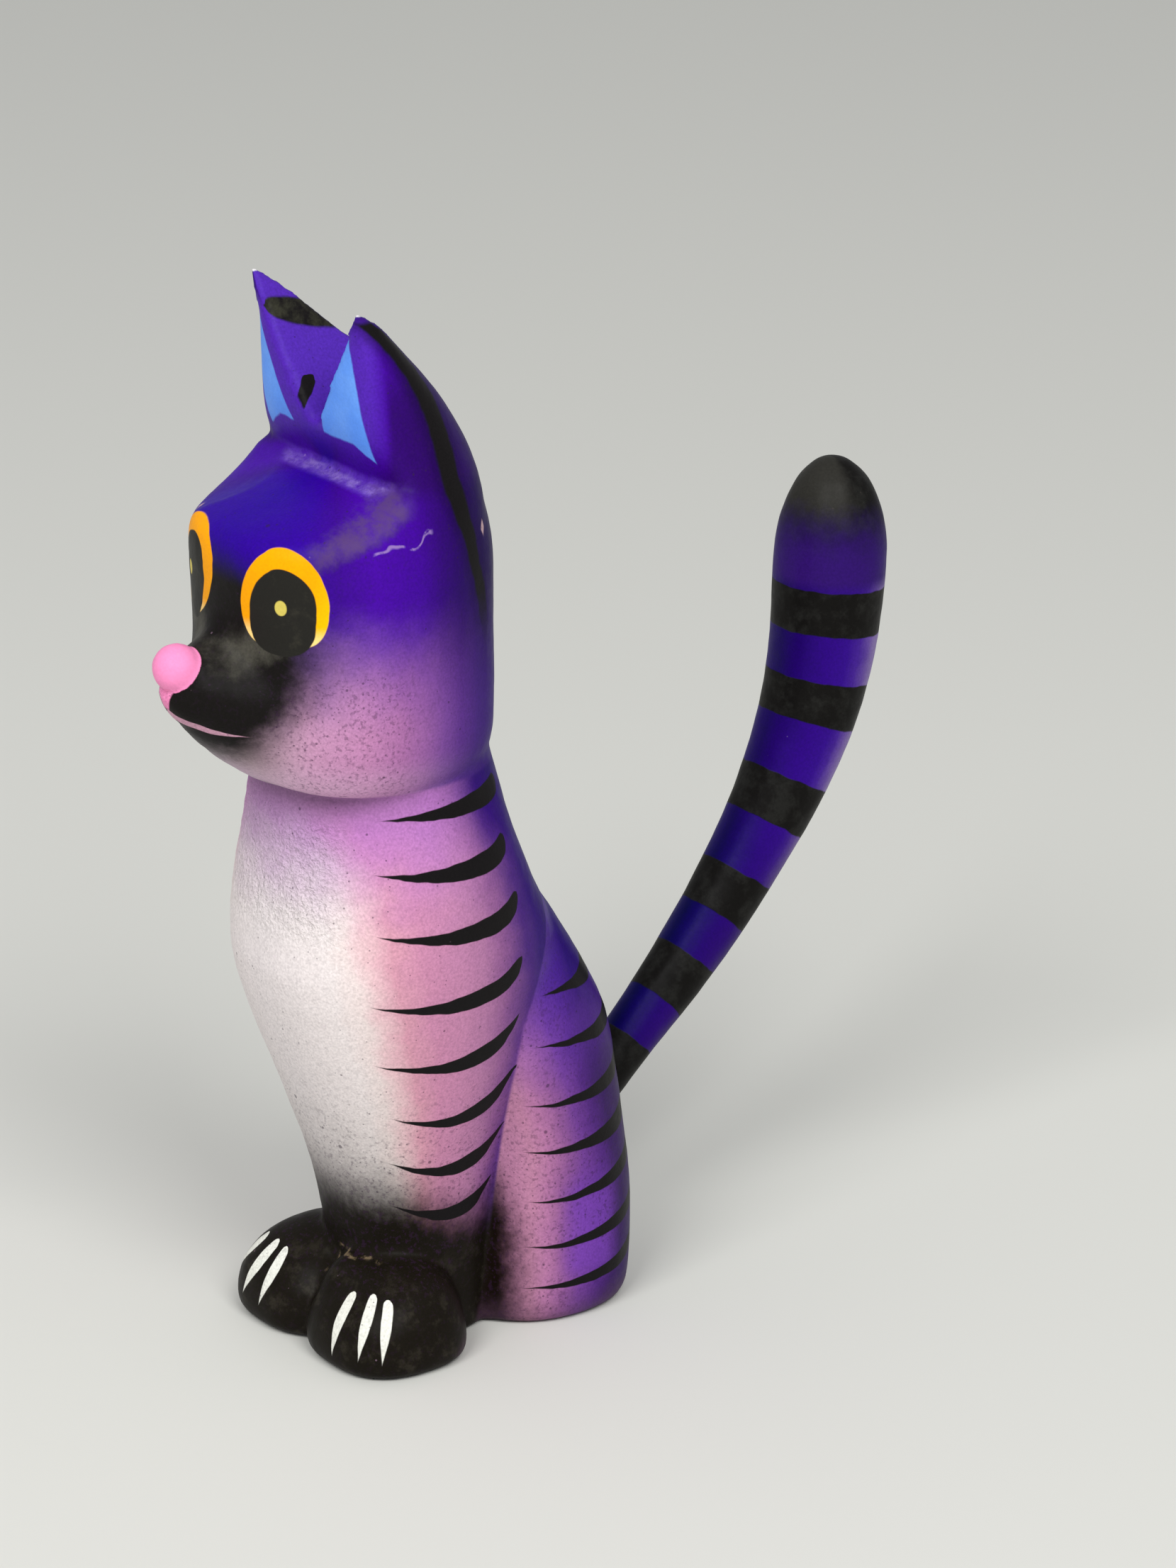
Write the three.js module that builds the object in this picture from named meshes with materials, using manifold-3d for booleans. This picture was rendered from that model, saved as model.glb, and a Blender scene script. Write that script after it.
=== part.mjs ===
// A sitting papier-mache cat with a striped tail, a shelf ornament. Two solids: the cat and its tail.
//
// Millimetres, +Z up. The cat looks along -Y, its left side is +X and its own middle plane is X = 0.
// Each mass of the figure is a stack of rounded rings, one above the other, and the masses are joined
// into one body, as the pulp was built up over a core. The tail is a bent, tapered rod of its own that
// is plugged into a socket low in the rump.

import * as THREE from "three";
import { mergeVertices } from "three/addons/utils/BufferGeometryUtils.js";
import Module from "manifold-3d";

const wasm = await Module();
wasm.setup();

// Heights of the cat, from the table up
const earTipHeight = 198;
const notchBottomHeight = 175;
const tailTipHeight = 147.3;
const pawHeight = 18.3;

// Widths
const notchHalfWidthAtTips = 15.4;
const notchHalfWidthAtBottom = 0.8;
const pawOffset = 11.3;
const noseRadius = 4.3;
const noseForward = 56;
const noseHeight = 136;

// Tail and its socket
const tailTipRound = 20;
const socketGap = 0.3;

// Colours of the two solids and how dull the lacquer is
const bodyColour = 0x6a3aa8;
const tailColour = 0x4a2496;
const lacquerRoughness = 0.42;

// One closed skin over a row of rings, each a list of as many points, with a point at the middle of
// the first ring and of the last.
function skin(rings, firstMiddle, lastMiddle) {
  const sides = rings[0].length;
  const points = [...rings.flat(), firstMiddle, lastMiddle];
  const last = rings.length - 1;
  const faces = [];
  for (let j = 0; j < sides; j++) {
    const k = (j + 1) % sides;
    for (let i = 0; i < last; i++) {
      const lower = i * sides;
      const upper = lower + sides;
      faces.push(lower + j, lower + k, upper + k, lower + j, upper + k, upper + j);
    }
    faces.push(points.length - 2, k, j);
    faces.push(points.length - 1, last * sides + j, last * sides + k);
  }
  const geometry = new THREE.BufferGeometry().setFromPoints(points);
  geometry.setIndex(faces);
  return geometry;
}

// The quarter-round share of the full width at a distance from an end that is rounded over a length
function quarterRound(distance, length) {
  if (length === 0 || distance >= length) return 1;
  return Math.sqrt(Math.max(0, 1 - (1 - distance / length) ** 2));
}

// Places near a rounded end, close together where the round turns fastest
function roundPlaces(length) {
  const steps = 5;
  return Array.from({ length: steps - 1 }, (_, i) => {
    return length * (1 - Math.cos((Math.PI * (i + 1)) / (2 * steps)));
  });
}

// A stack of rings through stations, which run upwards as
// [height, y of the middle, half width, reach forward, reach backward].
// A power of 2 makes an ellipse of the ring, and a higher one a boxier outline. The top closes to a
// point over topRound, and the bottom keeps most of its width as a flat foot.
function stack({
  stations,
  x = 0,
  sides = 36,
  steps = 2,
  frontPower = 2.2,
  backPower = 2.2,
  topRound = 0,
  footRound = 0,
  footInset = 0.1,
}) {
  const heights = stations.map((station) => station[0]);
  const values = stations.flatMap((station) => station.slice(1));
  const between = new THREE.CubicInterpolant(heights, values, 4, new Float32Array(4));
  const low = heights[0];
  const high = heights[heights.length - 1];
  const smallestShare = 0.05;
  const smallestStep = 0.05;

  const levels = heights.slice(0, -1).flatMap((height, i) => {
    const step = (heights[i + 1] - height) / steps;
    return Array.from({ length: steps }, (_, j) => height + j * step);
  });
  levels.push(high);
  if (topRound > 0) levels.push(...roundPlaces(topRound).map((d) => high - d));
  if (footRound > 0) levels.push(...roundPlaces(footRound).map((d) => low + d));
  levels.sort((p, q) => p - q);

  const rings = [];
  const middles = [];
  let previous = -Infinity;
  for (const z of levels) {
    if (z - previous < smallestStep) continue;
    previous = z;
    const [y, halfWidth, front, back] = between.evaluate(z);
    const foot = 1 - footInset * (1 - quarterRound(z - low, footRound));
    const share = Math.max(smallestShare, Math.min(foot, quarterRound(high - z, topRound)));
    const ring = [];
    for (let j = 0; j < sides; j++) {
      const angle = (2 * Math.PI * j) / sides;
      const [c, s] = [Math.cos(angle), Math.sin(angle)];
      const bend = 2 / (s < 0 ? frontPower : backPower);
      const reach = s < 0 ? front : back;
      const across = halfWidth * Math.sign(c) * Math.abs(c) ** bend;
      const along = reach * Math.sign(s) * Math.abs(s) ** bend;
      ring.push(new THREE.Vector3(x + across * share, y + along * share, z));
    }
    rings.push(ring);
    middles.push(new THREE.Vector3(x, y, z));
  }
  return skin(rings, middles[0], middles[middles.length - 1]);
}

// Chest and forelegs: one column from the ground up into the head
function chest() {
  return stack({
    footRound: 1.5,
    stations: [
      [0, -9, 14.5, 13, 15],
      [20, -9, 15, 14.8, 16],
      [32, -9, 16.5, 17.3, 19],
      [43, -10, 19.5, 19.7, 23],
      [54, -11, 22.5, 22.6, 27],
      [65, -12, 25, 25.7, 30],
      [76, -13, 26.7, 27.4, 31],
      [87, -14, 27, 25, 26.8],
      [98, -14.5, 25.3, 22.2, 22.8],
      [108, -15, 22.3, 21.3, 20.9],
      [122, -16, 21, 18, 18],
    ],
  });
}

// Rump and both haunches
function rump() {
  return stack({
    frontPower: 2.3,
    backPower: 2.3,
    footRound: 2.5,
    topRound: 8,
    stations: [
      [0, 16, 22.4, 20, 18.2],
      [10, 16, 23, 19, 18.9],
      [22, 15, 23.2, 16, 19.9],
      [34, 12, 23.5, 13, 21.6],
      [45, 9, 23.5, 11, 23.2],
      [56, 5.5, 23, 10, 25],
      [66, 2, 21.8, 9, 23.8],
      [76, -1.5, 19.5, 8, 21.5],
      [84, -4, 17, 8, 18.5],
      [92, -7, 13, 8, 14],
    ],
  });
}

// One forepaw, a low dome with a blunt front, highest where it meets the leg. The two run together in
// the middle
function paw(side) {
  return stack({
    x: side * pawOffset,
    sides: 28,
    frontPower: 2.65,
    backPower: 2.4,
    footRound: 2.5,
    footInset: 0.14,
    topRound: 14.5,
    stations: [
      [0, -20.3, 14.2, 14.8, 12.4],
      [9, -20.3, 14.2, 14.6, 12.4],
      [pawHeight, -18.5, 14, 14.4, 12.4],
    ],
  });
}

// The head without its ears: a rounded block with an upright face and a forehead that slopes back
function head() {
  return stack({
    sides: 40,
    topRound: 2,
    stations: [
      [111.6, -20.5, 21.3, 18.3, 22],
      [113.4, -21, 23.3, 20.8, 24.6],
      [116.8, -21.5, 25, 22.8, 26.3],
      [122, -22, 25.9, 23.9, 26.9],
      [135, -22, 26, 24.5, 26.9],
      [150, -22, 26, 24.9, 26.8],
      [155, -22, 25.6, 25, 26.3],
      [159, -22, 25, 23, 25.3],
      [161.5, -22, 24.3, 17.3, 24.3],
      [164, -22, 23.4, 9.8, 22.8],
      [166.5, -22, 22.4, 2.5, 21],
      [168, -22, 21.5, 1, 19],
    ],
  });
}

// The muzzle: a blunt wedge low on the face, undercut towards the throat
function muzzle() {
  return stack({
    sides: 32,
    frontPower: 1.75,
    backPower: 2,
    topRound: 2,
    stations: [
      [111.5, -28, 14, 11.5, 8],
      [117, -29.5, 18.5, 17.8, 8],
      [123.4, -30, 20, 23.7, 8],
      [129, -30, 19.3, 27.1, 8],
      [133, -30, 16.3, 27.9, 8],
      [137, -30, 12, 25, 8],
      [140.5, -30, 8, 20, 8],
      [144.5, -30, 4.5, 15.5, 8],
    ],
  });
}

function nose() {
  const ball = new THREE.SphereGeometry(noseRadius, 20, 12);
  ball.rotateX(Math.PI / 2);
  ball.translate(0, -noseForward, noseHeight);
  return ball;
}

// Both ears as one block, flat in front and rounded behind, running down into the back of the head
function earBlock() {
  return stack({
    sides: 40,
    frontPower: 5,
    backPower: 2.2,
    stations: [
      [156, -16, 24, 5, 18.5],
      [162, -16, 23.6, 5.5, 18],
      [167, -16, 22, 7.3, 16.9],
      [172, -17, 20.4, 8.6, 16],
      [177, -18, 19.4, 9, 14.1],
      [181.5, -19, 18.7, 8.5, 11.5],
      [187.5, -21, 17.8, 7, 7.7],
      [191, -22.5, 17, 5.8, 5.9],
      [194.5, -24.7, 16.7, 4.2, 4.2],
      [197, -26.9, 16.5, 2.3, 2.7],
      [earTipHeight, -28.1, 16.5, 1.2, 1.3],
    ],
  });
}

// The notch that parts the ears, cut straight through from front to back
function earNotch() {
  const above = 3;
  const widening = (notchHalfWidthAtTips - notchHalfWidthAtBottom) / (earTipHeight - notchBottomHeight);
  const topHalfWidth = notchHalfWidthAtTips + widening * above;
  const outline = new THREE.Shape([
    new THREE.Vector2(-notchHalfWidthAtBottom, notchBottomHeight),
    new THREE.Vector2(notchHalfWidthAtBottom, notchBottomHeight),
    new THREE.Vector2(topHalfWidth, earTipHeight + above),
    new THREE.Vector2(-topHalfWidth, earTipHeight + above),
  ]);
  const through = 60;
  const prism = new THREE.ExtrudeGeometry(outline, { depth: through, bevelEnabled: false });
  prism.rotateX(Math.PI / 2);
  prism.translate(0, through / 3, 0);
  return prism;
}

// The tail leaves the rump low down, rises backward and turns straight up to an egg-shaped tip, and is twice
// as thick there as at the root. The socket is the same rod, thicker and deeper by a gap.
function tailRod(grow) {
  const line = new THREE.CatmullRomCurve3(
    [
      [30, 30],
      [43, 42.5],
      [56, 55],
      [68, 69],
      [79.5, 86],
      [86.8, 104],
      [90, 131],
      [90, tailTipHeight],
    ].map(([y, z]) => new THREE.Vector3(0, y, z)),
  );
  const thickness = [
    [0, 5],
    [0.12, 5.3],
    [0.28, 6.4],
    [0.43, 7.4],
    [0.57, 8.7],
    [0.71, 10],
    [0.86, 10.75],
    [1, 10.4],
  ];
  const radiusAt = new THREE.CubicInterpolant(
    thickness.map(([share]) => share),
    thickness.map(([, radius]) => radius),
    1,
    new Float32Array(1),
  );
  const length = line.getLength();
  const sides = 24;
  const steps = 24;
  const shares = Array.from({ length: steps }, (_, i) => i / steps);
  shares.push(...roundPlaces(tailTipRound).map((d) => 1 - d / length), 1);
  shares.sort((p, q) => p - q);

  const sideways = new THREE.Vector3(1, 0, 0);
  const rings = shares.map((share) => {
    const middle = line.getPointAt(share);
    const onward = line.getTangentAt(share);
    const outward = new THREE.Vector3().crossVectors(onward, sideways);
    const tip = Math.max(0.04, quarterRound((1 - share) * length, tailTipRound));
    const radius = radiusAt.evaluate(share)[0] * tip + grow;
    return Array.from({ length: sides }, (_, j) => {
      const angle = (2 * Math.PI * j) / sides;
      return middle
        .clone()
        .addScaledVector(sideways, radius * Math.cos(angle))
        .addScaledVector(outward, radius * Math.sin(angle));
    });
  });
  const root = line.getPointAt(0);
  if (grow > 0) {
    const deeper = line.getTangentAt(0).multiplyScalar(-grow);
    rings[0].forEach((point) => point.add(deeper));
    root.add(deeper);
  }
  return skin(rings, root, line.getPointAt(1));
}

function toSolid(geometry) {
  const bare = new THREE.BufferGeometry();
  bare.setAttribute("position", geometry.getAttribute("position"));
  bare.setIndex(geometry.index);
  const merged = mergeVertices(bare, 1e-4);
  return new wasm.Manifold(
    new wasm.Mesh({
      numProp: 3,
      vertProperties: merged.attributes.position.array,
      triVerts: new Uint32Array(merged.index.array),
    }),
  );
}

function toMesh(name, solid, color) {
  const { vertProperties, triVerts } = solid.getMesh();
  const geometry = new THREE.BufferGeometry();
  geometry.setAttribute("position", new THREE.BufferAttribute(vertProperties.slice(), 3));
  geometry.setIndex(new THREE.BufferAttribute(triVerts.slice(), 1));
  geometry.computeVertexNormals();
  const material = new THREE.MeshStandardMaterial({ color, roughness: lacquerRoughness, metalness: 0 });
  const mesh = new THREE.Mesh(geometry, material);
  mesh.name = name;
  return mesh;
}

const ears = toSolid(earBlock()).subtract(toSolid(earNotch()));
const masses = [chest(), rump(), paw(1), paw(-1), head(), muzzle(), nose()];
const joined = masses.reduce((whole, mass) => whole.add(toSolid(mass)), ears);
const cat = joined.subtract(toSolid(tailRod(socketGap)));
const tail = toSolid(tailRod(0));

const group = new THREE.Group();
group.name = "papier_mache_cat";
group.add(toMesh("cat_body", cat, bodyColour));
group.add(toMesh("tail", tail, tailColour));

// The origin goes to the middle of the underside of the box round the whole
const box = new THREE.Box3().setFromObject(group);
const middle = box.getCenter(new THREE.Vector3());
for (const mesh of group.children) mesh.geometry.translate(-middle.x, -middle.y, -box.min.z);

export default group;
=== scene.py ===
import math

import bmesh
import bpy
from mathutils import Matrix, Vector, noise


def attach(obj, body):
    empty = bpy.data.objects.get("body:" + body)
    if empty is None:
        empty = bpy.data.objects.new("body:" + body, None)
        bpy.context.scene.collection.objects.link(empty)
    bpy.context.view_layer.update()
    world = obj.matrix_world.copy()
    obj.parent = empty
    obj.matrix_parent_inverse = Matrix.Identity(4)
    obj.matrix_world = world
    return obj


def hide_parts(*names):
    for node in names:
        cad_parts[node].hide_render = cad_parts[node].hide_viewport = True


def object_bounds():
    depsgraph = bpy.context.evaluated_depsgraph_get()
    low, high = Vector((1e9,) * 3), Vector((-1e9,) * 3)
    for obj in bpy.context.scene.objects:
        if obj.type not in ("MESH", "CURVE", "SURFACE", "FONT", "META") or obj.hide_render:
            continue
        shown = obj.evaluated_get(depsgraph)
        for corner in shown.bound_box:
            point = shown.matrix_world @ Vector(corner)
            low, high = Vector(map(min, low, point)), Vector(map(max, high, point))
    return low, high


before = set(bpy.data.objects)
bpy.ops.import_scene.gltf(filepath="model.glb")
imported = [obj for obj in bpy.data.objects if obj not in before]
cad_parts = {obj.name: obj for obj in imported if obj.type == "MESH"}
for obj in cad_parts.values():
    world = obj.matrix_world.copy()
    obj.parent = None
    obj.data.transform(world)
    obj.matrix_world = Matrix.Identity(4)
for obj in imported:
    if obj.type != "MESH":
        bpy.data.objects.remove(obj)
solid_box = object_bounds()
scene = bpy.context.scene


# The cat's body: layers of paper pulp pressed over a core and sanded, so its planes run into each other
# softly and nothing on it is quite even. A coat of primer went over the pulp before the paint, and it
# dried bumpy high on the chest.
MM = 0.001
BODY_GRAIN = 0.77
MASS_CREASE = math.radians(24)
SANDING = 0.5
NOSE = Vector((0, -76.1, 136))
NOSE_RADIUS, NOSE_SPARED = 4.5, 5.6

# Parts of the skin as boxes in mm, each from its lowest to its highest corner
BELOW_EARS = ((-40, -90, 0), (40, 30, 193))
BROW = ((-30, -70, 153), (30, -38, 169))
MUZZLE = ((-22, -73, 114), (22, -48, 151))
MUZZLE_MIDDLE = ((-19, -70.5, 118), (19, -52, 147))
PAWS_MEET = ((-24, -56, 11), (26, -38, 23))


def pulp_skin(node, name, grain):
    """The outer skin of one solid of the frame as a fine, even mesh."""
    pulp = bmesh.new()
    pulp.from_mesh(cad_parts[node].data)
    bmesh.ops.remove_doubles(pulp, verts=pulp.verts, dist=1e-6)
    mesh = bpy.data.meshes.new(name)
    pulp.to_mesh(mesh)
    pulp.free()
    piece = bpy.data.objects.new(name, mesh)
    scene.collection.objects.link(piece)
    layers = piece.modifiers.new("Layers", "REMESH")
    layers.mode = "VOXEL"
    layers.voxel_size = grain * MM
    drying = bpy.context.evaluated_depsgraph_get()
    piece.data = bpy.data.meshes.new_from_object(piece.evaluated_get(drying))
    piece.modifiers.clear()
    piece.data.name = name
    return piece


def sanded(pulp, verts, passes):
    """Rubs the given points of the skin towards their neighbours, again and again."""
    verts = list(verts)
    for _ in range(passes):
        bmesh.ops.smooth_vert(
            pulp, verts=verts, factor=SANDING, use_axis_x=True, use_axis_y=True, use_axis_z=True
        )


def creases(pulp, angle):
    """The points on the edges and in the creases that sanding has to spare."""
    sharp = {v for edge in pulp.edges if edge.calc_face_angle(0) > angle for v in edge.verts}
    return sharp | {edge.other_vert(v) for v in sharp for edge in v.link_edges}


def swell(point, size, height):
    """Unevenness of the pressed pulp, in mm, with humps of that size."""
    return noise.noise(point / size) * height


def within(verts, box):
    """The points of the skin inside a box, away from the nose."""
    low, high = (Vector(corner) * MM for corner in box)
    return [v for v in verts if all(low[i] < v.co[i] < high[i] for i in range(3))
            and (v.co / MM - NOSE).length > NOSE_SPARED]


def pressed(verts, middle, reach, way):
    """Presses the soft pulp by hand, in mm: points near the middle move that way, less and less further
    out, and not at all beyond the reach."""
    for vert in verts:
        off = vert.co / MM - Vector(middle)
        share = 1 - sum((off[i] / reach[i]) ** 2 for i in range(3))
        if share > 0:
            vert.co += Vector(way) * share * MM


cat = pulp_skin("cat_body", "cat_body_painted", BODY_GRAIN)
pulp = bmesh.new()
pulp.from_mesh(cat.data)
EAR_CREASES_FROM = 0.170
sanded(pulp, within(pulp.verts, BELOW_EARS), passes=2)
spared = creases(pulp, MASS_CREASE)
spared |= set(within(pulp.verts, BROW))
sanded(pulp, within(set(pulp.verts) - spared, BELOW_EARS), passes=10)
sanded(pulp, within(pulp.verts, BROW), passes=1)
sanded(pulp, [v for v in creases(pulp, MASS_CREASE) if v.co.z > EAR_CREASES_FROM], passes=5)
sanded(pulp, within(pulp.verts, MUZZLE), passes=12)
sanded(pulp, within(pulp.verts, MUZZLE_MIDDLE), passes=26)

# The right side of the forehead slopes away, the lip stands out, and the left paw is full where the
# paws meet
RIGHT_FOREHEAD, LIP, PAW_CREST = (-18, -53, 160), (0, -77, 129.5), (3, -47, 15)
pressed(pulp.verts, RIGHT_FOREHEAD, reach=(11, 11, 14), way=(0.45, -0.35, -1.5))
under_nose = [v for v in pulp.verts if (v.co / MM - NOSE).length > NOSE_RADIUS]
pressed(under_nose, LIP, reach=(6, 7, 5), way=(0, -1.3, 0))
pressed(pulp.verts, PAW_CREST, reach=(5.5, 7, 7), way=(0, 0, 2.8))
sanded(pulp, within(pulp.verts, PAWS_MEET), passes=7)

# The points of the ears are rubbed a little but keep their full height, and the right one stands a
# little higher
EAR_POINTS_FROM = 0.1955
sanded(pulp, [v for v in pulp.verts if v.co.z > EAR_POINTS_FROM], passes=3)
EAR_ROOT, EAR_TIP, RIGHT_EAR_EXTRA = 0.186, solid_box[1][2], 1.2
for left, extra in ((1, 0.0), (-1, RIGHT_EAR_EXTRA)):
    ear = [v for v in pulp.verts if v.co.x * left > 0 and v.co.z > EAR_ROOT]
    reach = max(v.co.z for v in ear) - EAR_ROOT
    for vert in ear:
        missing = EAR_TIP + extra * MM - EAR_ROOT - reach
        vert.co.z += missing * ((vert.co.z - EAR_ROOT) / reach) ** 2

# The pulp swells and dips a little all over, but not underneath or at the points of the ears
UNDERSIDE_TO, POINTS_FROM = 1.0, 196
WIDE_HUMPS, NARROW_HUMPS = (13, 0.16), (5, 0.06)
PRIMER_GRAIN, PRIMER_BUMPS, PRIMER_ELSEWHERE = 1.7, 0.28, 0.03
BUMPY_HEIGHT, BUMPY_REACH, CHEST_EDGE, CHEST_FADE = 95, 16, -46, 8
pulp.normal_update()
for vert in pulp.verts:
    spot = vert.co / MM
    if spot.z < UNDERSIDE_TO or spot.z > POINTS_FROM:
        continue
    rise = swell(spot, *WIDE_HUMPS) + swell(spot, *NARROW_HUMPS)
    on_height = max(0.0, 1 - abs(spot.z - BUMPY_HEIGHT) / BUMPY_REACH)
    on_chest = max(0.0, min(1.0, (CHEST_EDGE - spot.y) / CHEST_FADE))
    rise += swell(spot, PRIMER_GRAIN, PRIMER_BUMPS) * (on_height * on_chest)
    rise += swell(spot, PRIMER_GRAIN, PRIMER_ELSEWHERE)
    vert.co += vert.normal * rise * MM
for face in pulp.faces:
    face.smooth = True
pulp.to_mesh(cat.data)
pulp.free()


# The paint of the body: white on the chest, lilac and pink on the flanks and deep violet on the back,
# head and ears, blown on with an airbrush over one another. Paws, muzzle and eyes are black, and the
# stripes and claws are single brush strokes. A satin lacquer lies over it all.
bench = None


class Level:
    """A number that varies over the painted surface: one output of the paint's nodes."""

    def __init__(self, socket):
        self.socket = socket

    def __add__(self, other):
        return worked("ADD", self, other)

    __radd__ = __add__

    def __sub__(self, other):
        return worked("SUBTRACT", self, other)

    def __rsub__(self, other):
        return worked("SUBTRACT", other, self)

    def __mul__(self, other):
        return worked("MULTIPLY", self, other)

    def __truediv__(self, other):
        return worked("DIVIDE", self, other)


def feed(port, value):
    """Gives an input a plain value, or links it to a level or to another socket."""
    if isinstance(value, Level):
        value = value.socket
    if isinstance(value, bpy.types.NodeSocket):
        bench.links.new(value, port)
    else:
        port.default_value = value


def worked(kind, *values):
    """One step of arithmetic."""
    node = bench.nodes.new("ShaderNodeMath")
    node.operation = kind
    for port, value in zip(node.inputs, values):
        feed(port, value)
    return Level(node.outputs[0])


def size_of(level):
    """How far a level is from 0, either way."""
    return worked("ABSOLUTE", level)


def most(*levels):
    """The highest of the levels at each place."""
    first, *rest = levels
    for level in rest:
        first = worked("MAXIMUM", first, level)
    return first


def above(level, start):
    """How far a level lies above the start, and 0 below it."""
    return most(level - start, 0.0)


def shares(level, low, high, way="LINEAR"):
    """The level's share of the way from low to high, 0 before it and 1 past it."""
    node = bench.nodes.new("ShaderNodeMapRange")
    node.interpolation_type = way
    for name, value in (("Value", level), ("From Min", low), ("From Max", high)):
        feed(node.inputs[name], value)
    return Level(node.outputs[0])


def fade(level, start, end):
    """Rises softly from 0 at the start to 1 at the end."""
    return shares(level, start, end, "SMOOTHSTEP")


def traced(level, points):
    """A freely drawn curve through (level, value) points."""
    low, high = points[0][0], points[-1][0]
    least_value = min(value for _, value in points)
    reach = max(value for _, value in points) - least_value
    node = bench.nodes.new("ShaderNodeFloatCurve")
    feed(node.inputs["Value"], shares(level, low, high))
    drawn = node.mapping.curves[0].points
    while len(drawn) < len(points):
        drawn.new(0.5, 0.5)
    for place, (at, value) in zip(drawn, points):
        place.location = ((at - low) / (high - low), (value - least_value) / reach)
    node.mapping.update()
    return Level(node.outputs[0]) * reach + least_value


LACQUER_SHEEN = 0.003
LACQUER_COAT, COAT_DULLNESS, PAINT_GLOSS = 0.015, 0.3, 0.06


def pigment(red, green, blue):
    """The linear colour of a paint given as it looks, 0 to 255, less the sheen of the lacquer over it."""
    def straight(value):
        value /= 255
        value = value / 12.92 if value <= 0.04045 else ((value + 0.055) / 1.055) ** 2.4
        return max(0.0, value - LACQUER_SHEEN)
    return straight(red), straight(green), straight(blue), 1.0


def blended(level, *stops):
    """Airbrushed colours that run into each other, given as (level, red, green, blue)."""
    low, high = stops[0][0], stops[-1][0]
    node = bench.nodes.new("ShaderNodeValToRGB")
    feed(node.inputs[0], shares(level, low, high))
    ramp = node.color_ramp
    while len(ramp.elements) < len(stops):
        ramp.elements.new(1.0)
    for element, (at, *colour) in zip(ramp.elements, stops):
        element.position = (at - low) / (high - low)
        element.color = pigment(*colour)
    return node.outputs["Color"]


def over(under, colour, amount, kind="MIX"):
    """Lays a colour over another, as thickly as the amount says."""
    node = bench.nodes.new("ShaderNodeMix")
    node.data_type = "RGBA"
    node.blend_type = kind
    feed(node.inputs["Factor"], amount)
    for port, tint in ((node.inputs[6], under), (node.inputs[7], colour)):
        feed(port, pigment(*tint) if isinstance(tint, tuple) else tint)
    return node.outputs[2]


def blotches(place, size, detail=3.0, roughness=0.55):
    """Cloudy unevenness around 0.5, with patches of about that size in mm."""
    node = bench.nodes.new("ShaderNodeTexNoise")
    feed(node.inputs["Vector"], place)
    node.inputs["Scale"].default_value = 1 / size
    node.inputs["Detail"].default_value = detail
    node.inputs["Roughness"].default_value = roughness
    return Level(node.outputs[0])


DROPLET_EDGE = 0.12


def droplets(place, spacing, largest, share):
    """Separate round droplets of paint, each with a size of its own, on a share of the places."""
    cell = bench.nodes.new("ShaderNodeTexVoronoi")
    feed(cell.inputs["Vector"], place)
    cell.inputs["Scale"].default_value = 1 / spacing
    luck = bench.nodes.new("ShaderNodeSeparateColor")
    bench.links.new(cell.outputs["Color"], luck.inputs[0])
    radius = (Level(luck.outputs[1]) * 0.7 + 0.3) * largest
    dot = fade(Level(cell.outputs["Distance"]) * spacing - radius, 0.0, -DROPLET_EDGE)
    return dot * worked("LESS_THAN", Level(luck.outputs[0]), share)


def start_paint(name):
    """A new lacquered paint with its place on the surface, in mm, and its own shader."""
    global bench
    material = bpy.data.materials.new(name)
    material.use_nodes = True
    bench = material.node_tree
    where = bench.nodes.new("ShaderNodeTexCoord")
    scale = bench.nodes.new("ShaderNodeVectorMath")
    scale.operation = "SCALE"
    scale.inputs["Scale"].default_value = 1 / MM
    bench.links.new(where.outputs["Object"], scale.inputs[0])
    return material, scale.outputs[0], where.outputs["Normal"]


def parts_of(vector):
    """The x, y and z of a vector as levels."""
    node = bench.nodes.new("ShaderNodeSeparateXYZ")
    bench.links.new(vector, node.inputs[0])
    return [Level(output) for output in node.outputs]


def finish_paint(colour, roughness, relief):
    """Joins the colour, the dullness and the relief in mm to the paint's shader."""
    shader = bench.nodes["Principled BSDF"]
    feed(shader.inputs["Base Color"], colour)
    feed(shader.inputs["Roughness"], roughness)
    shader.inputs["Coat Weight"].default_value = LACQUER_COAT
    shader.inputs["Coat Roughness"].default_value = COAT_DULLNESS
    shader.inputs["Specular IOR Level"].default_value = PAINT_GLOSS
    bump = bench.nodes.new("ShaderNodeBump")
    bump.inputs["Distance"].default_value = MM
    feed(bump.inputs["Height"], relief)
    bench.links.new(bump.outputs[0], shader.inputs["Normal"])
    bench.links.new(bump.outputs[0], shader.inputs["Coat Normal"])


BRISTLE_EDGE = (0.04, 0.26)


def new_brush(name, body):
    """A way of making one brush stroke: how wide it is from its tip, 0, to its end, 1."""
    global bench
    kept = bench
    bench = bpy.data.node_groups.new(name, "ShaderNodeTree")
    for port in ("Along", "Across", "Length", "Bow", "Half width"):
        bench.interface.new_socket(port, in_out="INPUT", socket_type="NodeSocketFloat")
    bench.interface.new_socket("Paint", in_out="OUTPUT", socket_type="NodeSocketFloat")
    given = [Level(port) for port in bench.nodes.new("NodeGroupInput").outputs]
    along, across, length, bow, half = given[:5]
    share = along / length
    hollow = traced(share, [(0, 0), (0.18, 0.45), (0.36, 0.78), (0.58, 1), (0.75, 0.95), (0.85, 0.78),
                            (0.92, 0.5), (1, 0)])
    edge = traced(share, body) * half - size_of(across + hollow * bow)
    feed(bench.nodes.new("NodeGroupOutput").inputs[0], fade(edge, *BRISTLE_EDGE))
    brush, bench = bench, kept
    return brush


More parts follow.
